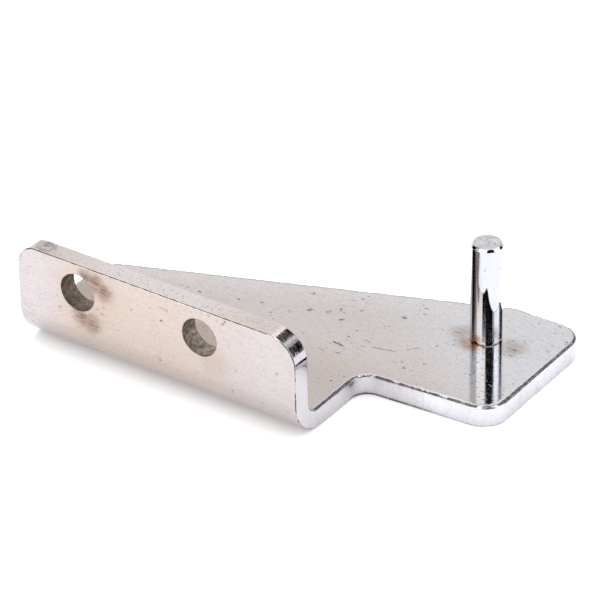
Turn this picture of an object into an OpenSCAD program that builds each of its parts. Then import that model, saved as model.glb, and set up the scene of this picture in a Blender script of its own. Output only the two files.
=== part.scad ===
// Pivot pin bracket: one bent plate with a two-hole mounting flange, and one upright pivot pin.
// Millimetres, +Z up. The origin is on the pin's axis, at the plate's top face.
// +X runs along the flange towards the arm that carries the pin; -Y is the flange's outer side.

/* [Bent plate] */
// Thickness of the plate and of the flange
plate_t = 4.3; // [3.8:0.1:4.8]
// Depth from the flange's outer face to the plate's straight back edge
plate_depth = 57.2; // [54:0.1:62]
// Radius on the outside of the bend between plate and flange
bend_outer_r = 8.3; // [7.5:0.1:8.8]
// Radius on the inside of the bend
bend_inner_r = 2.8; // [2.4:0.1:3.6]

/* [Flange] */
// Length of the flange along X
flange_len = 64.7; // [62:0.1:68]
// Height of the flange over the plate's underside
flange_h = 22.3; // [21:0.1:24]
// Radius of the flange's upper corner beside the arm
flange_arm_corner_r = 6; // [4:0.1:6.5]
// Radius of the flange's upper corner at the other end
flange_end_corner_r = 4.4; // [3:0.1:5.5]

/* [Screw holes] */
// Diameter of the two plain screw holes
screw_hole_d = 7.9; // [6.6:0.1:8.4]
// Distance between the two screw hole centres
screw_spacing = 28.6; // [24:0.1:30]
// Distance from the flange's arm end to the nearer hole centre
screw_inset = 21.8; // [18:0.1:24]
// Height of the hole centres over the plate's underside
screw_height = 16; // [15.6:0.1:16.6]

/* [Arm] */
// How far the arm reaches past the flange's end
arm_reach = 28.2; // [26:0.1:32]
// Depth of the notch from the flange's outer face to the arm's front edge
notch_depth = 21.6; // [19:0.1:24]
// Angle by which the arm's front edge runs back from the flange's direction
front_edge_angle = 4.3; // [0:0.1:6]
// Length of the straight back edge behind the pin
back_edge_len = 15.8; // [12:0.1:20]
// Angle of the long slanted edge behind the flange
slant_angle = 21.4; // [18:0.1:24]
// Radius of the plate's outer corners
corner_r = 5.2; // [3:0.1:6]
// Radius inside the notch, where the arm leaves the flange
notch_r = 3.5; // [2:0.1:5]

/* [Pivot pin] */
// Diameter of the pin
pin_d = 6.35; // [5.8:0.05:7]
// Height of the pin over the plate
pin_h = 21.4; // [18:0.1:26]
// Chamfer around the pin's upper end
pin_chamfer = 0.4; // [0.2:0.1:0.8]
// Distance of the pin's axis past the flange's end
pin_from_end = 13.1; // [11:0.1:15]
// Distance of the pin's axis from the flange's outer face
pin_from_face = 45.1; // [42:0.1:47]
// Diameter of the tenon that passes through the plate
tenon_d = 4.8; // [4:0.1:5.2]
// Diameter of the tenon's peened tail at the plate's underside
tail_d = 6.8; // [6.2:0.1:7.6]
// Depth of the countersink that the tail fills
tail_depth = 1.2; // [0.8:0.1:1.6]

/* [Hidden] */
plate_colour = [0.83, 0.80, 0.79];
pin_colour = [0.90, 0.90, 0.92];
pin_r = pin_d / 2;
tenon_r = tenon_d / 2;
tail_r = tail_d / 2;
clear = 1; // overshoot of cutting and trimming bodies
crossing = 0.0002; // makes a rounding meet its two sides in clean edges
bottom_z = -plate_t;
end_x = -pin_from_end;
start_x = end_x - flange_len;
far_x = end_x + arm_reach;
face_y = -pin_from_face;
back_y = face_y + plate_depth;
notch_y = face_y + notch_depth;
front_y = notch_y + arm_reach * tan(front_edge_angle);
slant_x = far_x - back_edge_len;
slant_y = back_y - (slant_x - start_x) * tan(slant_angle);

$fn = 96;

function unit(v) = v / norm(v);

// What lies between a corner p and its rounding, with some overshoot past the corner's two sides.
// a and b are the corner's neighbours.
module corner_piece(p, a, b, r) {
  u = unit(a - p);
  v = unit(b - p);
  half_angle = acos(u * v) / 2;
  reach = r / tan(half_angle);
  centre = p + unit(u + v) * r / sin(half_angle);
  grow = 1 + clear / r;
  difference() {
    polygon([for (q = [centre, p + u * reach, p, p + v * reach]) centre + (q - centre) * grow]);
    translate(centre) circle(r = r + crossing);
  }
}

// The waste in front of the arm, rounded where the arm leaves the flange.
module notch_waste() {
  near = [end_x, face_y - clear];
  notch = [end_x, notch_y];
  front = [far_x + clear, notch_y + (arm_reach + clear) * tan(front_edge_angle)];
  difference() {
    polygon([near, notch, front, [front.x, near.y]]);
    corner_piece(notch, near, front, notch_r);
  }
}

// Outline of the bent part seen from above, flange included.
module plan_outline() {
  start = [start_x, face_y];
  notch = [end_x, notch_y];
  front = [far_x, front_y];
  back = [far_x, back_y];
  slant = [slant_x, back_y];
  slant_end = [start_x, slant_y];
  difference() {
    polygon([start, [far_x, face_y], back, slant, slant_end]);
    notch_waste();
    corner_piece(front, notch, back, corner_r);
    corner_piece(back, front, slant, corner_r);
    corner_piece(slant_end, slant, start, corner_r);
  }
}

// Cross-section of the bent sheet, across the bend: first axis along Y, second along Z.
module bend_section() {
  heel = [face_y, bottom_z];
  toe = [back_y, bottom_z];
  crown = [face_y, bottom_z + flange_h];
  crook = [face_y + plate_t, 0];
  crook_toe = [back_y + clear, crook.y];
  crook_crown = [crook.x, crown.y + clear];
  difference() {
    translate(heel) square([plate_depth, flange_h]);
    difference() {
      polygon([crook, crook_toe, [crook_toe.x, crook_crown.y], crook_crown]);
      corner_piece(crook, crook_toe, crook_crown, bend_inner_r);
    }
    corner_piece(heel, crown, toe, bend_outer_r);
  }
}

// Outline seen from the front: the flange with its rounded upper corners, and the lower arm.
module front_outline() {
  low_z = bottom_z - clear;
  start_low = [start_x, low_z];
  start_top = [start_x, bottom_z + flange_h];
  end_top = [end_x, start_top.y];
  end_low = [end_x, low_z];
  difference() {
    translate(start_low) square([flange_len + arm_reach, flange_h + clear]);
    translate([end_x, clear]) square([arm_reach + clear, flange_h]);
    corner_piece(start_top, start_low, end_top, flange_end_corner_r);
    corner_piece(end_top, start_top, end_low, flange_arm_corner_r);
  }
}

module screw_hole(x) {
  translate([x, face_y - clear, bottom_z + screw_height])
    rotate([-90, 0, 0])
      cylinder(d = screw_hole_d, h = plate_t + 2 * clear);
}

module bracket_plate() {
  color(plate_colour)
    difference() {
      intersection() {
        translate([start_x, 0, 0]) rotate([90, 0, 90])
          linear_extrude(height = flange_len + arm_reach) bend_section();
        translate([0, 0, bottom_z - clear])
          linear_extrude(height = flange_h + 2 * clear) plan_outline();
        translate([0, back_y + clear, 0]) rotate([90, 0, 0])
          linear_extrude(height = plate_depth + 2 * clear) front_outline();
      }
      screw_hole(end_x - screw_inset);
      screw_hole(end_x - screw_inset - screw_spacing);
      translate([0, 0, bottom_z - clear]) cylinder(r = tenon_r, h = plate_t + 2 * clear);
      translate([0, 0, bottom_z]) cylinder(r1 = tail_r, r2 = tenon_r, h = tail_depth);
    }
}

// The pin's shoulder stands on the plate; its tenon fills the bore and is peened flush below.
module pivot_pin() {
  color(pin_colour)
    rotate_extrude()
      polygon([
        [0, bottom_z],
        [tail_r, bottom_z],
        [tenon_r, bottom_z + tail_depth],
        [tenon_r, 0],
        [pin_r, 0],
        [pin_r, pin_h - pin_chamfer],
        [pin_r - pin_chamfer, pin_h],
        [0, pin_h]
      ]);
}

bracket_plate();
pivot_pin();
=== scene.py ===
"""Looks of the pivot pin bracket: a bent plated plate with a screw flange, and its upright pin.

Sizes are in millimetres until a mesh is built. X runs along the flange towards the arm, Y from the
flange to the back edge, and Z up. The origin is on the pin's axis, at the plate's upper side.
"""
import math

import bmesh
import bpy
import numpy as np
from mathutils import Matrix, Vector, geometry, noise


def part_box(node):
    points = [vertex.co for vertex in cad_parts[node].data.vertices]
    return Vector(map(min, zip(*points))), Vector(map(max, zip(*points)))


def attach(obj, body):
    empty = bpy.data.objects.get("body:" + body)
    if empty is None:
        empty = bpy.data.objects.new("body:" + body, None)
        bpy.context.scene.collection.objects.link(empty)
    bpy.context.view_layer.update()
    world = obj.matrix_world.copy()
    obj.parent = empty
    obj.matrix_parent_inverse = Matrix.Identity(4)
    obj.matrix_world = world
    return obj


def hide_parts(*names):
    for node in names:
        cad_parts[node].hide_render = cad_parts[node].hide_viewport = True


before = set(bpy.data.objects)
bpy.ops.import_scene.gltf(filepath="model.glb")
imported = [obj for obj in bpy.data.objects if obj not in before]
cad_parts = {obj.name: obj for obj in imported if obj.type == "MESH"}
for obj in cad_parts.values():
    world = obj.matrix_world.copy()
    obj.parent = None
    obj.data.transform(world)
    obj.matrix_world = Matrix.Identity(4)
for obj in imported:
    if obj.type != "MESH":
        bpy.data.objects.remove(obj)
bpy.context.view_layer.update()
MM = 0.001

# ---------------------------------------------------------------- sizes, in millimetres
plate_low, plate_high = [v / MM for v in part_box("bracket_plate")]
START_X, FACE_Y, BOTTOM_Z = plate_low
FAR_X, BACK_Y, TOP_Z = plate_high
PLATE_T = -BOTTOM_Z
PIN_H = (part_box("pivot_pin")[1] / MM).z
PIN_R = 3.175
TENON_R = 2.4
TAIL_R = 3.4
TAIL_DEPTH = 1.2
END_X = -13.1
OUTER_R = 8.3
INNER_R = 2.8
FLANGE_H = TOP_Z - BOTTOM_Z
NOTCH_DEPTH = 21.6
FRONT_SLOPE = math.tan(math.radians(4.3))
SLANT_SLOPE = math.tan(math.radians(21.4))
BACK_EDGE = 15.8
NOTCH_Y = FACE_Y + NOTCH_DEPTH
FRONT_Y = NOTCH_Y + (FAR_X - END_X) * FRONT_SLOPE
SLANT_X = FAR_X - BACK_EDGE
SLANT_Y = BACK_Y - (SLANT_X - START_X) * SLANT_SLOPE
CORNER_R = 5.2
NOTCH_R = 3.5
END_CORNER_R = 4.4
ARM_CORNER_R = 6.0
SCREW_R = 3.95
SCREW_INSET = 21.8  # from the flange's right end to the nearer screw hole
SCREW_SPACING = 28.6
SCREW_HEIGHT = 16.0  # above the underside
SCREW_X = (END_X - SCREW_INSET, END_X - SCREW_INSET - SCREW_SPACING)
SCREW_Z = BOTTOM_Z + SCREW_HEIGHT
SCREW_S = FLANGE_H - SCREW_HEIGHT  # developed distance from the flange's top edge
STRAIGHT = FLANGE_H - OUTER_R  # the flange's flat height
BEND = OUTER_R * math.pi / 2  # developed length of the bend
FLAT = STRAIGHT + BEND  # developed distance at which the flat plate begins
ROLL_R = 0.45  # depth of the die roll along the edges on the plate's upper side
ROLL_SPREAD = 1.9  # its width over its depth, away from the front corner
CORNER_SPREAD = 0.9  # more of it at the front corner
CORNER_REACH = 14  # how far from the front corner the roll stays wide
BURR_R = 0.26  # rounding of the edges on the underside and the flange's outer side
ROLL_PAINTED_SHADE = 0.85  # darkness of the painted shade line on the rolled edges, as a share of that on the underside's edges
HOLE_NEAR_R = 0.08  # rounding of the screw holes at the flange's outer side
HOLE_FAR_R = 0.30  # and at its inner side


# ---------------------------------------------------------------- the bent sheet as a surface
def developed(y):
    """Distance along the sheet, from the flange's top edge, of a place on the flat plate."""
    return FLAT + (y - FACE_Y) - OUTER_R


def section(s):
    """Outer point, its outward normal, inner point and its normal, as (y, z), at distance s."""
    if s <= STRAIGHT:
        z = FLANGE_H - s
        return (0.0, z), (-1.0, 0.0), (PLATE_T, z), (1.0, 0.0)
    if s >= FLAT:
        y = OUTER_R + s - FLAT
        return (y, 0.0), (0.0, -1.0), (y, PLATE_T), (0.0, 1.0)
    a = (s - STRAIGHT) / BEND * math.pi / 2
    ray = (-math.cos(a), -math.sin(a))
    outer = (OUTER_R + OUTER_R * ray[0], OUTER_R + OUTER_R * ray[1])
    gap = OUTER_R - PLATE_T  # from the outer centre to the sheet's inner faces
    lag = gap - INNER_R  # from the outer centre to the inner centre, along Y and Z
    swing = INNER_R**2 - (lag * (math.cos(a) - math.sin(a))) ** 2
    on_arc = lag * (math.cos(a) + math.sin(a)) + math.sqrt(max(swing, 0.0))
    hit = (OUTER_R + on_arc * ray[0], OUTER_R + on_arc * ray[1])
    centre = PLATE_T + INNER_R
    if hit[1] > centre:
        reach = gap / math.cos(a)
        return outer, ray, (PLATE_T, OUTER_R + reach * ray[1]), (1.0, 0.0)
    if hit[0] > centre:
        reach = gap / math.sin(a)
        return outer, ray, (OUTER_R + reach * ray[0], PLATE_T), (0.0, 1.0)
    normal = ((centre - hit[0]) / INNER_R, (centre - hit[1]) / INNER_R)
    return outer, ray, hit, normal


def place(x, s, inner, depth, side, tilt):
    """Point and normal at (x, s): depth is below the chosen face, tilt turns from face to wall."""
    outer_point, n_out, inner_point, n_in = section(s)
    p, n = (inner_point, n_in) if inner else (outer_point, n_out)
    run = (n[1], -n[0]) if inner else (-n[1], n[0])  # direction in which s grows
    across = (side[0], side[1] * run[0], side[1] * run[1])
    point = (x, FACE_Y + p[0] - n[0] * depth, BOTTOM_Z + p[1] - n[1] * depth)
    c, q = math.cos(tilt), math.sin(tilt)
    return point, (across[0] * q, n[0] * c + across[1] * q, n[1] * c + across[2] * q)


def rounded(corners, step, arc_step):
    """Closed outline through corners [(point, radius)], with rounded corners and even spacing."""
    points = []
    count = len(corners)
    for i, (p, r) in enumerate(corners):
        p = Vector(p)
        u = (Vector(corners[i - 1][0]) - p).normalized()
        v = (Vector(corners[(i + 1) % count][0]) - p).normalized()
        arc = [p]
        if r > 0:
            half = math.acos(u.dot(v)) / 2
            centre = p + (u + v).normalized() * (r / math.sin(half))
            a = p + u * (r / math.tan(half)) - centre
            b = p + v * (r / math.tan(half)) - centre
            turn = math.atan2(a.x * b.y - a.y * b.x, a.dot(b))
            k = max(4, math.ceil(abs(turn) * r / arc_step))
            arc = [centre + Matrix.Rotation(turn * j / k, 2) @ a for j in range(k + 1)]
        if points:
            points += between(points[-1], arc[0], step)
        points += arc
    points += between(points[-1], points[0], step)
    return np.array([(q.x, q.y) for q in points])


def between(a, b, step):
    """Evenly spaced points between a and b, without the two themselves."""
    k = max(1, round((b - a).length / step))
    return [a.lerp(b, j / k) for j in range(1, k)]


def outward(ring):
    """Unit outward normals of a counter-clockwise ring."""
    edge = np.roll(ring, -1, axis=0) - ring
    edge /= np.linalg.norm(edge, axis=1)[:, None]
    n = np.stack([edge[:, 1], -edge[:, 0]], axis=1)
    n = n + np.roll(n, 1, axis=0)
    return n / np.linalg.norm(n, axis=1)[:, None]


def inside(points, ring):
    """True for each point inside the ring."""
    a, b = ring, np.roll(ring, -1, axis=0)
    x, y = points[:, :1], points[:, 1:]
    rising = (a[None, :, 1] > y) != (b[None, :, 1] > y)
    slope = (b[:, 0] - a[:, 0]) / np.where(b[:, 1] == a[:, 1], 1e-9, b[:, 1] - a[:, 1])
    cross = x < a[None, :, 0] + slope[None, :] * (y - a[None, :, 1])
    return (np.sum(rising & cross, axis=1) % 2) == 1


def wobble(p, scale, seed):
    """Smooth noise round zero at a point of an outline; the seed picks another pattern."""
    return noise.noise(Vector((p[0] * scale, p[1] * scale, seed)))


class Sheet:
    """Collects vertices with normals, faces with materials, and the painted edge shade of each
    vertex.
    """

    def __init__(self):
        self.points, self.normals, self.painted_edge_shade = [], [], []
        self.faces, self.slots = [], []

    def add(self, placed, painted_edge_shade=0.0):
        """Adds a vertex, placed being its point and normal, and returns its number."""
        self.points.append(placed[0])
        self.normals.append(placed[1])
        self.painted_edge_shade.append(painted_edge_shade)
        return len(self.points) - 1

    def strip(self, a, b, slot):
        """Joins two closed rings of vertices that have the same count."""
        for i in range(len(a)):
            j = (i + 1) % len(a)
            self.faces.append((a[i], a[j], b[j], b[i]))
            self.slots.append(slot)

    def build(self, name, materials):
        """Makes the object, with the collected normals and painted edge shade values."""
        mesh = bpy.data.meshes.new(name)
        mesh.from_pydata([Vector(p) * MM for p in self.points], [], self.faces)
        for m in materials:
            mesh.materials.append(m)
        mesh.polygons.foreach_set("material_index", self.slots)
        mesh.polygons.foreach_set("use_smooth", [True] * len(self.faces))
        layer = mesh.attributes.new("painted_edge_shade", "FLOAT", "POINT")
        layer.data.foreach_set("value", self.painted_edge_shade)
        mesh.normals_split_custom_set_from_vertices([Vector(n).normalized() for n in self.normals])
        mesh.validate()
        obj = bpy.data.objects.new(name, mesh)
        bpy.context.scene.collection.objects.link(obj)
        return obj


FACE, WALL, BORE = 0, 1, 2  # material slots of the bent plate


def rim(sheet, ring, normals, radii, inner, count, slot, spreads=None):
    """Rounds one edge of the sheet: vertex rings from the face down to the wall."""
    rings = []
    spreads = np.ones(len(ring)) if spreads is None else spreads
    for k in range(count + 1):
        tilt = math.pi / 2 * k / count
        row = []
        for p, n, r, spread in zip(ring, normals, radii, spreads):
            q = p - n * r * spread * (1 - math.sin(tilt))
            lean = math.atan2(math.sin(tilt), spread * math.cos(tilt))
            # painted shade: a dark line along the middle of the rounding
            painted_edge_shade = math.sin(2 * tilt) * (ROLL_PAINTED_SHADE if inner else 1.0)
            placed = place(q[0], q[1], inner, r * (1 - math.cos(tilt)), n, lean)
            row.append(sheet.add(placed, painted_edge_shade))
        rings.append(row)
    for a, b in zip(rings, rings[1:]):
        if inner:
            sheet.strip(b, a, slot)
        else:
            sheet.strip(a, b, slot)
    return rings[0], rings[-1]


def wall(sheet, low, high, rows, slot, rough, seed):
    """The cut wall between two rims, a little uneven."""
    last = low
    for k in range(1, rows):
        t = k / rows
        row = []
        for a, b in zip(low, high):
            p = Vector(sheet.points[a]).lerp(Vector(sheet.points[b]), t)
            n = Vector(sheet.normals[a]).lerp(Vector(sheet.normals[b]), t).normalized()
            p -= n * rough * (0.5 + 0.5 * noise.noise(p * 1.3 + Vector((0, 0, seed))))
            row.append(sheet.add((tuple(p), tuple(n))))
        sheet.strip(last, row, slot)
        last = row
    sheet.strip(last, high, slot)


def skin(sheet, outline, holes, inner):
    """Fills one face of the sheet between the outline's rim and the holes' rims."""
    loops = [outline] + holes
    points, edges = [], []
    for loop in loops:
        first = len(points)
        points += list(loop[1])
        edges += [(first + i, first + (i + 1) % len(loop[1])) for i in range(len(loop[1]))]
    rims = np.array(points)
    index = [i for loop in loops for i in loop[0]]
    pitch = 1.25  # of the grid inside the loops
    bend_rows = 21
    rows = list(np.arange(pitch, STRAIGHT, pitch))
    rows += list(np.linspace(STRAIGHT, FLAT, bend_rows))
    rows += list(np.arange(FLAT + pitch, developed(BACK_Y), pitch))
    columns = np.arange(START_X + pitch, FAR_X, pitch)
    grid = np.array([(x, s) for s in rows for x in columns])
    near = np.min(np.linalg.norm(grid[:, None] - rims[None], axis=2), axis=1)
    keep = inside(grid, outline[1]) & (near > pitch / 2)
    for hole in holes:
        keep &= ~inside(grid, hole[1])
    grid = grid[keep]
    flat = [Vector(p) for p in points] + [Vector(p) for p in grid]
    faces, origin = geometry.delaunay_2d_cdt(flat, edges, [], 0, 1e-6)[2:4]
    made = [index[o[0]] if o[0] < len(index) else None for o in origin]
    for i, o in enumerate(origin):
        if made[i] is None:
            x, s = flat[o[0]]
            made[i] = sheet.add(place(x, s, inner, 0.0, (0.0, 0.0), 0.0))
    where = np.array([flat[o[0]] for o in origin])
    middles = np.array([where[list(f)].mean(axis=0) for f in faces])
    good = inside(middles, outline[1])
    for hole in holes:
        good &= ~inside(middles, hole[1])
    for f, ok in zip(faces, good):
        if ok:
            loop = [made[i] for i in f]
            sheet.faces.append(tuple(loop if inner else reversed(loop)))
            sheet.slots.append(FACE)


def circle(x, s, r, count):
    """Ring of points round a hole, clockwise because the sheet is outside it."""
    turn = -np.arange(count) * 2 * math.pi / count
    return np.stack([x + r * np.cos(turn), s + r * np.sin(turn)], axis=1)


def plate_outline():
    """The developed outline of the plate, counter-clockwise from the flange's left end."""
    corners = [
        ((START_X, 0), END_CORNER_R),
        ((END_X, 0), ARM_CORNER_R),
        ((END_X, developed(NOTCH_Y)), NOTCH_R),
        ((FAR_X, developed(FRONT_Y)), CORNER_R),
        ((FAR_X, developed(BACK_Y)), CORNER_R),
        ((SLANT_X, developed(BACK_Y)), 0),
        ((START_X, developed(SLANT_Y)), CORNER_R),
    ]
    return rounded(corners, 0.6, 0.35)


def plate_rims(sheet):
    """The plate's cut edge. Returns the loops at which the outer and the inner face begin."""
    outline = plate_outline()
    normals = outward(outline)
    burr_r = [BURR_R * (1 + 0.35 * wobble(p, 1.1, 3.0)) for p in outline]
    roll_r = [ROLL_R * (1 + 0.30 * wobble(p, 1.4, 8.0)) for p in outline]
    low, low_wall = rim(sheet, outline, normals, burr_r, False, 4, WALL)
    corner = np.array([FAR_X, developed(FRONT_Y)])
    reach = np.linalg.norm(outline - corner, axis=1) / CORNER_REACH
    spreads = ROLL_SPREAD + CORNER_SPREAD * np.exp(-(reach**2))
    high, high_wall = rim(sheet, outline, normals, roll_r, True, 9, WALL, spreads)
    wall(sheet, low_wall, high_wall, 4, WALL, 0.03, 1.0)
    low_loop = (low, outline - normals * np.array(burr_r)[:, None])
    high_loop = (high, outline - normals * (spreads * np.array(roll_r))[:, None])
    return low_loop, high_loop


def screw_hole(sheet, x, seed):
    """One punched screw hole. Returns its loops in the outer and the inner face."""
    ring = circle(x, SCREW_S, SCREW_R, 72)
    normals = outward(ring)
    near_r = [HOLE_NEAR_R * (1 + 0.4 * wobble(p, 1.2, seed)) for p in ring]
    far_r = [HOLE_FAR_R * (1 + 0.4 * wobble(p, 1.2, seed + 9)) for p in ring]
    near, near_wall = rim(sheet, ring, normals, near_r, False, 4, BORE)
    far, far_wall = rim(sheet, ring, normals, far_r, True, 4, BORE)
    wall(sheet, near_wall, far_wall, 5, BORE, 0.05, seed + 4.0)
    near_loop = (near, ring - normals * np.array(near_r)[:, None])
    far_loop = (far, ring - normals * np.array(far_r)[:, None])
    return near_loop, far_loop


def pin_bore(sheet):
    """The pin's bore, countersunk below. Returns its loops in the lower and the upper face."""
    bore_s = developed(0.0)
    sink = circle(0.0, bore_s, TAIL_R, 64)
    bore = circle(0.0, bore_s, TENON_R, 64)
    normals = outward(sink)
    rows = []
    for ring, inner, depth in ((sink, False, 0), (bore, False, TAIL_DEPTH), (bore, True, 0)):
        rows.append([sheet.add(place(*p, inner, depth, n, 1.2)) for p, n in zip(ring, normals)])
    for a, b in zip(rows, rows[1:]):
        sheet.strip(a, b, BORE)
    foot = [sheet.add(place(*p, False, 0, n, 0)) for p, n in zip(sink, normals)]
    head = [sheet.add(place(*p, True, 0, n, 0)) for p, n in zip(bore, normals)]
    return (foot, sink), (head, bore)


def bent_plate(materials):
    """The whole bent plate: outline, screw holes and the pin's countersunk bore."""
    sheet = Sheet()
    low_loop, high_loop = plate_rims(sheet)
    holes = [screw_hole(sheet, x, seed) for seed, x in enumerate(SCREW_X)]
    holes.append(pin_bore(sheet))
    skin(sheet, low_loop, [hole[0] for hole in holes], False)
    skin(sheet, high_loop, [hole[1] for hole in holes], True)
    return sheet.build("bent_plate", materials)


def pin_profile(bevel, edge):
    """Radius and height along the pin, from its foot to the free end with its bevel."""
    profile = [
        (TAIL_R * 0.5, BOTTOM_Z + 0.02),
        (TAIL_R - 0.10, BOTTOM_Z + 0.03),
        (TAIL_R - 0.04, BOTTOM_Z + 0.09),
        (TENON_R, BOTTOM_Z + TAIL_DEPTH),
        (TENON_R, -0.01),
        (PIN_R - 0.02, 0.0),
        (PIN_R, 0.03),
    ]
    profile += [(PIN_R, z) for z in np.linspace(0.6, PIN_H - 0.7, 28)]
    profile += [(PIN_R, PIN_H - edge - 0.03), (PIN_R - 0.03, PIN_H - edge + 0.04)]
    profile += [(PIN_R - bevel * k / 4, PIN_H - edge + edge * k / 4) for k in (1, 2, 3)]
    profile += [(PIN_R - bevel + 0.03, PIN_H - 0.02), (PIN_R - bevel - 0.04, PIN_H)]
    profile += [(r, PIN_H) for r in np.linspace(PIN_R - bevel - 0.15, 0.2, 14)]
    return profile


def pin(materials):
    """The turned pin: peened tail, tenon, shoulder, long body and an unevenly cut free end."""
    around = 120
    bevel, edge = 0.42, 0.62  # the end's bevel: its width and its height
    profile = pin_profile(bevel, edge)
    vertices, faces = [], []
    for r, z in profile:
        for k in range(around):
            a = 2 * math.pi * k / around
            d = Vector((math.cos(a), math.sin(a), 0))
            p = d * r + Vector((0, 0, z))
            if z > PIN_H - edge:
                share = (z - (PIN_H - edge)) / edge
                ragged = noise.noise(d * 1.7 + Vector((5, 0, 0)))
                p -= d * 0.14 * share * (0.5 + 0.5 * ragged)
                scar = noise.noise(Vector((p.x * 0.9, p.y * 0.5, 2.0)))
                ridge = abs(noise.noise(Vector((p.x * 0.35 + p.y * 0.5, p.y * 0.25, 7.0))))
                p.z -= share * (0.04 + 0.04 * scar + 0.11 * ridge)
            vertices.append(p * MM)
    for i in range(len(profile) - 1):
        here, above = i * around, (i + 1) * around
        for k in range(around):
            j = (k + 1) % around
            faces.append((here + k, here + j, above + j, above + k))
    last = len(vertices) - around
    top, foot = len(vertices), len(vertices) + 1
    vertices.append(sum(vertices[last:], Vector()) / around)
    vertices.append(Vector((0, 0, profile[0][1])) * MM)
    for k in range(around):
        faces.append((last + k, last + (k + 1) % around, top))
    for k in range(around):
        faces.append(((k + 1) % around, k, foot))
    mesh = bpy.data.meshes.new("turned_pin")
    mesh.from_pydata(vertices, [], faces)
    for m in materials:
        mesh.materials.append(m)
    mesh.polygons.foreach_set("use_smooth", [True] * len(mesh.polygons))
    turned = bmesh.new()
    turned.from_mesh(mesh)
    bmesh.ops.recalc_face_normals(turned, faces=turned.faces)
    turned.to_mesh(mesh)
    turned.free()
    obj = bpy.data.objects.new("turned_pin", mesh)
    bpy.context.scene.collection.objects.link(obj)
    return obj


# ---------------------------------------------------------------- shader building blocks
class Shader:
    """A node material in the making. Positions are in millimetres."""

    def __init__(self, name):
        self.material = bpy.data.materials.new(name)
        self.material.use_nodes = True
        self.tree = self.material.node_tree
        self.tree.nodes.clear()
        self.bsdf = self.node("ShaderNodeBsdfPrincipled")
        out = self.node("ShaderNodeOutputMaterial")
        self.tree.links.new(self.bsdf.outputs[0], out.inputs[0])
        place_node = self.node("ShaderNodeTexCoord")
        self.p = self.vec("SCALE", place_node.outputs["Object"], scale=1 / MM)
        shake = self.node("ShaderNodeTexNoise", {"Vector": self.p, "Scale": 1.3, "Detail": 3.0})
        offset = self.vec("SUBTRACT", shake.outputs["Color"], (0.5, 0.5, 0.5))
        self.ragged = self.vec("ADD", self.p, self.vec("SCALE", offset, scale=1.6))
        axes = self.node("ShaderNodeSeparateXYZ", {0: self.p})
        self.x, self.y, self.z = axes.outputs

    def node(self, kind, inputs=None, **settings):
        """A new node with its settings; each input is a value or the socket that feeds it."""
        made = self.tree.nodes.new(kind)
        for key, value in settings.items():
            setattr(made, key, value)
        for key, value in (inputs or {}).items():
            if isinstance(value, bpy.types.NodeSocket):
                self.tree.links.new(value, made.inputs[key])
            else:
                made.inputs[key].default_value = value
        return made

    def vec(self, operation, a, b=None, scale=None):
        """Vector maths, with a single number out where the operation gives one."""
        inputs = {0: a}
        if b is not None:
            inputs[1] = b
        if scale is not None:
            inputs["Scale"] = scale
        made = self.node("ShaderNodeVectorMath", inputs, operation=operation)
        scalar = operation in ("LENGTH", "DISTANCE", "DOT_PRODUCT")
        return made.outputs["Value" if scalar else "Vector"]

    def math(self, operation, a, b=0.0, clamp=False):
        made = self.node("ShaderNodeMath", {0: a, 1: b}, operation=operation, use_clamp=clamp)
        return made.outputs[0]

    def plus(self, a, b, clamp=False):
        return self.math("ADD", a, b, clamp)

    def minus(self, a, b):
        return self.math("SUBTRACT", a, b)

    def times(self, a, b):
        return self.math("MULTIPLY", a, b)

    def fade(self, value, low, high, to_low=0.0, to_high=1.0):
        """Smooth step: to_low where value is at low, to_high where it is at high."""
        inputs = {"Value": value, "From Min": low, "From Max": high}
        inputs.update({"To Min": to_low, "To Max": to_high})
        made = self.node("ShaderNodeMapRange", inputs, interpolation_type="SMOOTHSTEP")
        return made.outputs["Result"]

    def mix(self, factor, a, b):
        """Colour a where factor is 0, b where it is 1."""
        made = self.node("ShaderNodeMix", {0: factor, 6: a, 7: b}, data_type="RGBA")
        return made.outputs[2]

    def noise(self, stretch, detail=3.0, rough=0.55, shift=(0, 0, 0)):
        """Noise with stretch features per millimetre along each axis, from 0 to 1."""
        where = self.vec("ADD", self.vec("MULTIPLY", self.p, stretch), shift)
        inputs = {"Vector": where, "Scale": 1.0, "Detail": detail, "Roughness": rough}
        return self.node("ShaderNodeTexNoise", inputs).outputs["Fac"]

    def spots(self, marks, edge):
        """1 inside the marks (x, y, z, radius), fading out over their outer part."""
        strongest = None
        for x, y, z, r in marks:
            gap = self.vec("DISTANCE", self.ragged, (x, y, z))
            one = self.fade(gap, r, r * edge)
            strongest = one if strongest is None else self.math("MAXIMUM", strongest, one)
        return strongest

    def scratch(self, a, b, width):
        """1 on the straight scratch from a to b."""
        a, b = Vector(a), Vector(b)
        run = b - a
        straight = self.vec("SCALE", self.p, scale=0.8)
        near = self.vec("ADD", straight, self.vec("SCALE", self.ragged, scale=0.2))
        off = self.vec("SUBTRACT", near, tuple(a))
        t = self.math("DIVIDE", self.vec("DOT_PRODUCT", off, tuple(run)), run.length_squared, True)
        foot = self.vec("SCALE", tuple(run), scale=t)
        return self.fade(self.vec("DISTANCE", off, foot), width, width * 0.3)

    def total(self, *masks):
        """The strongest of the masks at each place."""
        result = masks[0]
        for m in masks[1:]:
            result = self.math("MAXIMUM", result, m)
        return result

    def finish(self, colour, roughness, height, distance, metal=1.0):
        """Feeds the shader; distance is the depth of the bump in metres."""
        relief = {"Height": height, "Distance": distance, "Strength": 1.0}
        bump = self.node("ShaderNodeBump", relief)
        self.bsdf.inputs["Metallic"].default_value = metal
        feeds = {"Base Color": colour, "Roughness": roughness, "Normal": bump.outputs[0]}
        for key, value in feeds.items():
            self.tree.links.new(value, self.bsdf.inputs[key])
        return self.material


def rgb(r, g, b):
    return (r, g, b, 1.0)


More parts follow.
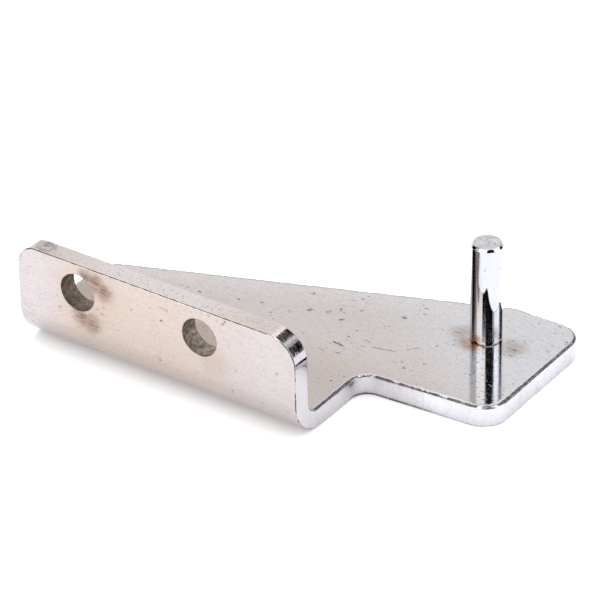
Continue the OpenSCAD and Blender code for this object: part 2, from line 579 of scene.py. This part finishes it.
# ---------------------------------------------------------------- the object's materials
# colours of the flange and the plate
FLANGE_LILAC = rgb(0.565, 0.52, 0.53)
FLANGE_CREAM = rgb(0.575, 0.485, 0.43)
PLATE_WARM = rgb(0.68, 0.62, 0.60)
PLATE_COOL = rgb(0.72, 0.725, 0.765)
PLATE_BACK = rgb(0.77, 0.735, 0.74)
# painted shade: the plate's darker colour in the inside corner along the flange
PLATE_PAINTED_SHADE = rgb(0.56, 0.495, 0.465)
# painted shade: colour of two soft dark patches on the plate beside the flange
PAINTED_SPOT_SHADE = rgb(0.46, 0.38, 0.32)
MOTTLE = rgb(0.44, 0.385, 0.35)
COARSE_LINES = rgb(0.46, 0.41, 0.385)
FINE_LINES = rgb(0.42, 0.375, 0.355)
SAND = rgb(0.36, 0.31, 0.285)
STAIN = rgb(0.47, 0.36, 0.285)
FOOT_STAIN = rgb(0.33, 0.25, 0.18)
WORN_COPPER = rgb(0.18, 0.105, 0.075)
RUST = rgb(0.38, 0.20, 0.11)
PIT = rgb(0.085, 0.065, 0.055)

# colours of the cut edges
EDGE_LEFT = rgb(0.515, 0.495, 0.52)
EDGE_RIGHT = rgb(0.71, 0.705, 0.76)
EDGE_DULL = rgb(0.52, 0.51, 0.53)
EDGE_LINES = rgb(0.33, 0.315, 0.32)
TOP_MIDDLE = rgb(0.77, 0.70, 0.68)
TOP_ENDS = rgb(0.67, 0.59, 0.55)
EDGE_SPECK = rgb(0.22, 0.20, 0.19)
# painted shadow and dark reflection along the rounded edges
PAINTED_EDGE_SHADOW = rgb(0.07, 0.055, 0.048)

# colours of the bores of the holes
BORE_DARK = rgb(0.11, 0.088, 0.07)
BORE_PALE = rgb(0.44, 0.37, 0.32)
BORE_RUST = rgb(0.22, 0.14, 0.09)
# painted shade low in the left screw hole
BORE_PAINTED_SHADE = rgb(0.07, 0.052, 0.04)

# colours of the pin
PIN_PLATING = rgb(0.605, 0.62, 0.66)
PIN_HAZE = rgb(0.56, 0.58, 0.62)
END_PALE = rgb(0.64, 0.64, 0.655)
END_DARK = rgb(0.42, 0.42, 0.43)
PIN_COPPER = rgb(0.60, 0.33, 0.20)
PIN_SEAM = rgb(0.20, 0.125, 0.085)
PIN_FLECK = rgb(0.25, 0.22, 0.20)

# painted shade and marks on the flange and the plate, each as x, y, z and radius
# painted shade beside the flange, standing in for the dark reflections there
PAINTED_SHADE_SPOTS = [(-46, -31, 0, 9), (-72, -31, 0, 9)]
WORN_MARKS = [
    (-61.4, FACE_Y, 15.9, 2.8),
    (-59.2, FACE_Y, 15.1, 3.6),
    (-57.2, FACE_Y, 13.9, 3.2),
    (-62.8, FACE_Y, 6.4, 3.2),
    (-60.4, FACE_Y, 5.8, 3.4),
]
STAINS = [(-61.5, FACE_Y, 11.0, 10.0), (-58.5, FACE_Y, 14.0, 8.0), (-31.8, FACE_Y, 7.6, 5.0)]
FOOT_STAINS = [(-2.4, -3.6, 0, 3.6), (6.2, -0.6, 0, 4.6), (-4.6, -1.2, 0, 3.8)]
RUST_MARKS = [(-0.8, -4.6, 0, 2.4), (-2.2, -3.6, 0, 1.8)]
FLECKS = [
    (-29.3, FACE_Y, 16.7, 0.55),
    (-29.0, FACE_Y, 17.2, 0.45),
    (-17.2, FACE_Y, 9.8, 0.4),
    (-50.8, FACE_Y, 12.1, 0.45),
    (-43.8, FACE_Y, 12.3, 0.45),
    (-44.2, FACE_Y, 3.4, 0.5),
    (-30.4, -9.3, 0, 0.8),
    (-26.7, -10.3, 0, 0.7),
    (-25.1, -5.4, 0, 0.6),
    (-33.7, -10.7, 0, 0.7),
    (-36.5, -5.5, 0, 0.7),
    (-16.9, -3.0, 0, 0.9),
]
PIN_STAINS = [(-0.8, -3.1, 0.4, 2.2), (-2.2, -2.3, 0.5, 2.0)]  # on the pin, above its foot

# scratches on the plate, each as its two ends and its width
SCRATCHES = [
    ((-23.4, -17.5, 0), (-21.2, -17.8, 0), 0.34),
    ((-19.0, -13.8, 0), (-17.6, -13.7, 0), 0.16),
    ((-16.2, -14.9, 0), (-14.0, -14.6, 0), 0.20),
    ((-14.0, -14.5, 0), (-11.6, -13.9, 0), 0.13),
    ((-10.3, -12.2, 0), (-8.5, -10.2, 0), 0.16),
]


def grain(s):
    """Brushed lines along X, coarse and fine."""
    return s.noise((0.10, 1.9, 1.9), 4.0, 0.6), s.noise((0.45, 6.5, 6.5), 2.0, 0.6, (3, 1, 7))


def pits(s, low, high):
    """Sparse little pits, a few of them drawn out along X, gathered in loose groups."""
    cell = s.noise((0.75, 1.5, 1.5), 1.0, 0.4, (11, 4, 2))
    group = s.noise((0.12, 0.16, 0.16), 2.0, 0.5, (2, 9, 5))
    return s.times(s.fade(cell, low, high), s.fade(group, 0.45, 0.62))


def face_material():
    """Satin plating of the flange and the plate: brushed, mottled, stained, pitted and scratched,
    with painted shade on the plate beside the flange.
    """
    s = Shader("satin_nickel")
    coarse, fine = grain(s)
    cloud = s.noise((0.045, 0.06, 0.06), 3.0, 0.5)
    mottle = s.noise((0.5, 0.9, 0.9), 4.0, 0.65, (6, 2, 0))
    on_flange = s.fade(s.y, FACE_Y + 2.6, FACE_Y + 0.6)

    # the flange: a warm cream middle, paler and more lilac towards both ends
    from_left = s.fade(s.x, START_X + 3, START_X + 16)
    from_right = s.fade(s.x, END_X - 5, END_X - 30)
    warm = s.times(from_left, from_right)
    warm = s.plus(warm, s.times(s.minus(cloud, 0.5), 0.9), True)
    flange = s.mix(warm, FLANGE_LILAC, FLANGE_CREAM)

    # the plate: warm grey beside the flange, cooler towards the pin and the back edge
    cool = s.fade(s.plus(s.x, s.times(s.y, 1.6)), -42, 4)
    cool = s.plus(cool, s.times(s.minus(cloud, 0.5), 0.8), True)
    plate = s.mix(cool, PLATE_WARM, PLATE_COOL)
    line = s.times(s.minus(s.x, FAR_X - BACK_EDGE), SLANT_SLOPE)
    from_back = s.minus(s.plus(line, BACK_Y), s.y)
    plate = s.mix(s.fade(from_back, 10, 0, 0.0, 0.75), plate, PLATE_BACK)
    # painted shade and reflection: the plate darker and browner in the inside corner along the flange
    painted_corner_shade = s.times(s.fade(s.y, -16, -30), s.fade(s.z, 3, 1))
    plate = s.mix(s.times(painted_corner_shade, 0.8), plate, PLATE_PAINTED_SHADE)
    # painted shade: two soft round dark patches beside the flange, for the dark reflections there
    painted_spot_mask = s.spots(PAINTED_SHADE_SPOTS, 0.5)
    plate = s.mix(s.times(painted_spot_mask, 0.8), plate, PAINTED_SPOT_SHADE)
    colour = s.mix(on_flange, plate, flange)
    colour = s.mix(s.fade(mottle, 0.42, 0.75, 0.0, 0.16), colour, MOTTLE)
    colour = s.mix(s.fade(coarse, 0.50, 0.78, 0.0, 0.25), colour, COARSE_LINES)
    colour = s.mix(s.fade(fine, 0.45, 0.70, 0.0, 0.30), colour, FINE_LINES)

    sand = s.noise((1.6, 2.6, 2.6), 2.0, 0.7, (0, 5, 9))
    colour = s.mix(s.fade(sand, 0.50, 0.72, 0.0, 0.42), colour, SAND)

    # worn places where the copper shows
    breakup = s.fade(s.noise((0.35, 1.6, 1.6), 5.0, 0.7, (1, 8, 3)), 0.30, 0.64, 0.35, 1.0)
    worn = s.spots(WORN_MARKS, 0.05)
    halo = s.spots(STAINS, 0.1)
    foot = s.spots(FOOT_STAINS, 0.1)
    worn = s.times(worn, breakup)
    colour = s.mix(s.times(halo, 0.50), colour, STAIN)
    foot = s.times(foot, breakup)
    colour = s.mix(s.times(foot, 0.75), colour, FOOT_STAIN)
    colour = s.mix(s.times(worn, 0.92), colour, WORN_COPPER)
    rust = s.times(s.spots(RUST_MARKS, 0.1), breakup)
    colour = s.mix(s.times(rust, 0.8), colour, RUST)

    # pits and handling scratches
    holes = s.times(pits(s, 0.64, 0.72), s.fade(on_flange, 0.0, 1.0, 1.0, 0.35))
    flecks = s.spots(FLECKS, 0.3)
    flecks = s.times(flecks, s.fade(mottle, 0.35, 0.55))
    lines = s.total(*[s.scratch(a, b, width) for a, b, width in SCRATCHES])
    marks = s.total(holes, flecks, lines)
    colour = s.mix(s.times(marks, 0.85), colour, PIT)

    # duller on the flange, inside and out
    rough = s.fade(coarse, 0.3, 0.75, 0.04, 0.11)
    rough = s.plus(rough, s.times(s.total(on_flange, s.fade(s.z, 3, 6)), 0.15))
    rough = s.plus(rough, s.times(s.total(worn, marks), 0.25), True)
    height = s.plus(s.times(coarse, 0.55), s.times(fine, 0.30))
    speckle = s.plus(s.times(mottle, 0.25), s.times(sand, 0.3))
    height = s.plus(height, speckle)
    height = s.minus(height, s.times(marks, 1.2))
    return s.finish(colour, rough, height, 0.006 * MM)


def edge_material():
    """Bright plating of the cut edges, with a painted broken dark line of shade and reflection along
    both their sides.
    """
    s = Shader("bright_cut_edge")
    across = s.noise((1.9, 0.6, 0.25), 4.0, 0.6)
    mottle = s.noise((0.8, 0.8, 0.8), 4.0, 0.65, (4, 4, 1))
    drift = s.noise((0.05, 0.05, 0.05), 2.0, 0.5, (9, 0, 3))
    colour = s.mix(s.fade(s.x, -6, 4), EDGE_LEFT, EDGE_RIGHT)
    colour = s.mix(s.fade(drift, 0.35, 0.65, 0.0, 0.5), colour, EDGE_DULL)
    colour = s.mix(s.fade(across, 0.45, 0.75, 0.0, 0.25), colour, EDGE_LINES)
    on_top = s.fade(s.z, TOP_Z - 1.2, TOP_Z - 0.3)
    off_middle = s.math("ABSOLUTE", s.plus(s.x, 46))
    strip = s.mix(s.fade(off_middle, 8, 26), TOP_MIDDLE, TOP_ENDS)
    colour = s.mix(s.times(on_top, 0.9), colour, strip)
    stain = s.times(s.spots([(-72.3, -43.0, TOP_Z, 3.0)], 0.4), s.fade(mottle, 0.35, 0.6))
    speck = s.fade(s.noise((1.7, 2.2, 2.2), 2.0, 0.6, (7, 3, 3)), 0.57, 0.68)
    speck = s.times(speck, s.fade(on_top, 0.0, 1.0, 0.55, 0.75))
    dirt = s.total(stain, s.times(speck, 0.7))
    colour = s.mix(s.times(dirt, 0.75), colour, EDGE_SPECK)
    # painted shade: a broken dark line along the middle of each rounded edge, for the dark reflection
    # on the rolled edges and the shadow under the lower edges
    painted_edge_shade = s.node("ShaderNodeAttribute", attribute_name="painted_edge_shade").outputs["Fac"]
    ragged = s.fade(s.noise((0.55, 0.55, 0.55), 5.0, 0.75, (2, 2, 8)), 0.40, 0.52)
    painted_dark_line = s.times(s.fade(painted_edge_shade, 0.45, 0.75), ragged)
    # painted contact shadow at the foot of the notch and front walls
    low = s.times(s.fade(s.z, BOTTOM_Z + 0.75, BOTTOM_Z + 0.3), s.fade(s.x, 8, -4))
    low = s.times(low, s.fade(s.y, FACE_Y + 16, FACE_Y + 20))
    painted_dark_line = s.total(painted_dark_line, s.times(low, s.fade(mottle, 0.3, 0.5, 0.4, 1.0)))
    colour = s.mix(s.times(painted_dark_line, 0.9), colour, PAINTED_EDGE_SHADOW)
    ground = s.spots([(END_X - 0.6, FACE_Y + 2.1, TOP_Z - 5.4, 4.2)], 0.5)
    rough = s.plus(s.fade(mottle, 0.3, 0.7, 0.10, 0.20), s.times(painted_dark_line, 0.3))
    rough = s.times(rough, s.fade(ground, 0.0, 1.0, 1.0, 0.3))
    height = s.plus(s.times(across, 0.5), s.times(mottle, 0.5))
    return s.finish(colour, rough, height, 0.022 * MM)


def bore_material():
    """The dull torn metal inside the holes, with painted shade low in the left one."""
    s = Shader("punched_bore")
    torn = s.noise((1.3, 0.9, 1.3), 5.0, 0.75)
    mottle = s.noise((1.6, 1.6, 1.6), 4.0, 0.7, (5, 1, 1))
    colour = s.mix(s.fade(torn, 0.3, 0.7), BORE_DARK, BORE_PALE)
    colour = s.mix(s.fade(mottle, 0.5, 0.72, 0.0, 0.6), colour, BORE_RUST)
    # painted shade: darker low in the left hole
    painted_bore_shade = s.fade(s.z, SCREW_Z + 3, SCREW_Z - 4, 0.0, 0.55)
    colour = s.mix(s.times(painted_bore_shade, s.fade(s.x, -45, -60)), colour, BORE_PAINTED_SHADE)
    rough = s.fade(mottle, 0.3, 0.7, 0.38, 0.55)
    height = s.plus(torn, mottle)
    return s.finish(colour, rough, height, 0.03 * MM)


def pin_material():
    """Mirror plating of the pin, with its duller cut end and the stained seam at its foot."""
    s = Shader("bright_pin_plating")
    haze = s.noise((0.5, 0.5, 0.12), 4.0, 0.6)
    mottle = s.noise((1.8, 1.8, 1.8), 4.0, 0.65, (3, 3, 3))
    colour = s.mix(s.fade(haze, 0.35, 0.7), PIN_PLATING, PIN_HAZE)
    end = s.fade(s.z, PIN_H - 0.42, PIN_H - 0.14)
    end_colour = s.mix(s.fade(mottle, 0.35, 0.7), END_PALE, END_DARK)
    colour = s.mix(end, colour, end_colour)
    breakup = s.fade(mottle, 0.30, 0.60, 0.45, 1.0)
    copper = s.spots(PIN_STAINS, 0.15)
    copper = s.times(copper, breakup)
    colour = s.mix(s.times(copper, 0.9), colour, PIN_COPPER)
    seam = s.times(s.fade(s.z, 0.45, 0.10), s.fade(mottle, 0.35, 0.55, 0.35, 0.9))
    colour = s.mix(seam, colour, PIN_SEAM)
    fleck = s.fade(s.noise((1.2, 1.2, 0.9), 2.0, 0.5, (8, 8, 0)), 0.68, 0.74)
    fleck = s.times(fleck, 0.5)
    colour = s.mix(fleck, colour, PIN_FLECK)
    rough = s.plus(s.fade(haze, 0.3, 0.7, 0.01, 0.04), s.times(end, 0.26))
    rough = s.plus(rough, s.times(copper, 0.18), True)
    height = s.plus(s.times(haze, 0.35), s.times(s.times(mottle, end), 1.6))  # rough end
    return s.finish(colour, rough, height, 0.008 * MM)


# ---------------------------------------------------------------- studio
FLOOR_GLOW = 0.15  # the table is lit from below as well
FLOOR_REACH = 3.0  # metres from the middle to each side
FLOOR_GAP = 0.01  # below the underside, so that the two never share a plane
SKY_STRENGTH = 2.0
BLACK = rgb(0.004, 0.004, 0.005)
DUSK = rgb(0.32, 0.17, 0.10)
WARM_LIGHT = rgb(2.0, 1.92, 1.8)
COOL_LIGHT = rgb(2.05, 2.07, 2.15)
CAMERA_AZIMUTH = 35.2
CAMERA_ELEVATION = 32.25
CAMERA_ROLL = -0.95
CAMERA_DISTANCE = 0.7874  # metres
CAMERA_AIM = (-41.3, -3.2, BOTTOM_Z)


def towards(azimuth, elevation):
    """Unit vector from the object towards a place; degrees, with the azimuth from the front."""
    a, e = math.radians(azimuth), math.radians(elevation)
    return Vector((math.sin(a) * math.cos(e), -math.cos(a) * math.cos(e), math.sin(e)))


def floor():
    """The pale matt table."""
    mesh = bpy.data.meshes.new("studio_floor")
    r, z = FLOOR_REACH, (BOTTOM_Z - FLOOR_GAP) * MM
    mesh.from_pydata([(-r, -r, z), (r, -r, z), (r, r, z), (-r, r, z)], [], [(0, 1, 2, 3)])
    obj = bpy.data.objects.new("studio_floor", mesh)
    bpy.context.scene.collection.objects.link(obj)
    s = Shader("pale_floor")
    soft = s.noise((0.01, 0.01, 0.01), 3.0, 0.5)
    colour = s.mix(s.fade(soft, 0.3, 0.7), rgb(0.93, 0.925, 0.94), rgb(0.94, 0.94, 0.945))
    mesh.materials.append(s.finish(colour, s.fade(soft, 0.3, 0.7, 0.7, 0.8), soft, 0.02 * MM, 0.0))
    s.bsdf.inputs["Emission Color"].default_value = rgb(1.0, 1.0, 1.0)
    s.bsdf.inputs["Emission Strength"].default_value = FLOOR_GLOW
    s.bsdf.inputs["Specular IOR Level"].default_value = 0.0


def card(name, radius, rows, colour):
    """A curtain round the object that only reflections see. rows: (azimuth, low, high) in degrees."""
    vertices = []
    for azimuth, low, high in rows:
        a = math.radians(azimuth)
        for elevation in (low, high):
            height = radius * math.tan(math.radians(elevation))
            vertices.append((math.sin(a) * radius, -math.cos(a) * radius, height))
    faces = [(2 * i, 2 * i + 2, 2 * i + 3, 2 * i + 1) for i in range(len(rows) - 1)]
    mesh = bpy.data.meshes.new(name)
    mesh.from_pydata(vertices, [], faces)
    obj = bpy.data.objects.new(name, mesh)
    bpy.context.scene.collection.objects.link(obj)
    material = bpy.data.materials.new(name)
    material.use_nodes = True
    tree = material.node_tree
    tree.nodes.clear()
    glow = tree.nodes.new("ShaderNodeEmission")
    glow.inputs["Color"].default_value = colour
    out = tree.nodes.new("ShaderNodeOutputMaterial")
    tree.links.new(glow.outputs[0], out.inputs[0])
    mesh.materials.append(material)
    obj.visible_camera = False
    obj.visible_diffuse = False
    obj.visible_shadow = False


def even_card(name, radius, azimuths, low, high, colour):
    """A card with straight lower and upper edges."""
    card(name, radius, [(azimuth, low, high) for azimuth in azimuths], colour)


def cards():
    """What the bright metal mirrors besides the sky and the table."""
    even_card("front_dark", 0.20, (3, 15, 27, 39, 51, 63, 75), 20, 32, BLACK)
    even_card("front_high_dark", 0.20, (27, 42, 57, 72, 88), 32, 75, BLACK)
    even_card("side_dark", 0.3, (-90, -75, -60), 8, 33, BLACK)
    even_card("side_dusk", 0.3, (-60, -53, -46), 8, 32, DUSK)
    even_card("side_high_dark", 0.5, (-98, -78, -58, -38), 37, 68, BLACK)
    card("left_softbox", 0.45, [(-37, 33, 60), (-20, 18, 60), (3, 18, 60)], WARM_LIGHT)
    even_card("near_softbox", 0.21, (3, 15, 27), 32.5, 60, WARM_LIGHT)
    even_card("right_softbox", 0.45, (89, 102, 115, 128), 18, 60, COOL_LIGHT)
    rear = [(131, 4, 31.8), (142, 5, 32), (144, 6, 36), (154, 10, 36), (171, 20, 33)]
    card("rear_low_dark", 0.6, rear, BLACK)
    even_card("rear_high_dark", 0.6, (156, 169, 182, 196), 40.5, 58, BLACK)


def lamp(name, azimuth, elevation, distance, size, watts, colour):
    """A round soft lamp that reflections do not see."""
    light = bpy.data.lights.new(name, "AREA")
    light.shape, light.size, light.energy, light.color = "DISK", size, watts, colour
    obj = bpy.data.objects.new(name, light)
    back = towards(azimuth, elevation)
    obj.location = back * distance
    obj.rotation_mode = "QUATERNION"
    obj.rotation_quaternion = (-back).to_track_quat("-Z", "Y")
    obj.visible_glossy = False
    bpy.context.scene.collection.objects.link(obj)


def sky():
    """A pale sky, nearly even up to 34 degrees and then brightening to white overhead."""
    world = bpy.data.worlds.new("studio")
    world.use_nodes = True
    bpy.context.scene.world = world
    tree = world.node_tree
    tree.nodes.clear()
    where = tree.nodes.new("ShaderNodeTexCoord")
    axes = tree.nodes.new("ShaderNodeSeparateXYZ")
    ramp = tree.nodes.new("ShaderNodeValToRGB")
    backdrop = tree.nodes.new("ShaderNodeBackground")
    out = tree.nodes.new("ShaderNodeOutputWorld")
    tree.links.new(where.outputs["Generated"], axes.inputs[0])
    tree.links.new(axes.outputs["Z"], ramp.inputs[0])
    tree.links.new(ramp.outputs[0], backdrop.inputs["Color"])
    tree.links.new(backdrop.outputs[0], out.inputs[0])
    stops = ramp.color_ramp.elements
    stops[0].position, stops[0].color = 0.0, rgb(0.52, 0.52, 0.525)
    stops[1].position, stops[1].color = 1.0, rgb(1.0, 1.0, 1.0)
    middle = stops.new(0.56)
    middle.color = rgb(0.485, 0.485, 0.49)
    high = stops.new(0.80)
    high.color = rgb(0.85, 0.85, 0.85)
    backdrop.inputs["Strength"].default_value = SKY_STRENGTH


def studio():
    """Sky, lamp, table and cards, shown without a tone curve."""
    bpy.context.scene.view_settings.view_transform = "Standard"
    sky()
    lamp("back_lamp", 205, 62, 1.1, 0.9, 2.0, (1.0, 0.99, 0.98))
    floor()
    cards()


def camera():
    """Long lens, from the front right and above."""
    azimuth, roll = math.radians(CAMERA_AZIMUTH), math.radians(CAMERA_ROLL)
    right = Vector((math.cos(azimuth), math.sin(azimuth), 0))
    back = towards(CAMERA_AZIMUTH, CAMERA_ELEVATION)
    up = back.cross(right)
    turned = right * math.cos(roll) + up * math.sin(roll)
    upright = up * math.cos(roll) - right * math.sin(roll)
    data = bpy.data.cameras.new("camera")
    data.lens, data.sensor_width = 240, 36
    data.clip_start, data.clip_end = 0.05, 20
    obj = bpy.data.objects.new("camera", data)
    axes = Matrix((turned, upright, back)).transposed().to_4x4()
    aim = Vector(CAMERA_AIM) * MM
    obj.matrix_world = Matrix.Translation(aim + back * CAMERA_DISTANCE) @ axes
    bpy.context.scene.collection.objects.link(obj)
    bpy.context.scene.camera = obj


studio()
camera()
plate = bent_plate([face_material(), edge_material(), bore_material()])
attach(plate, "root")
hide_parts("bracket_plate")
turned = pin([pin_material()])
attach(turned, "root")
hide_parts("pivot_pin")
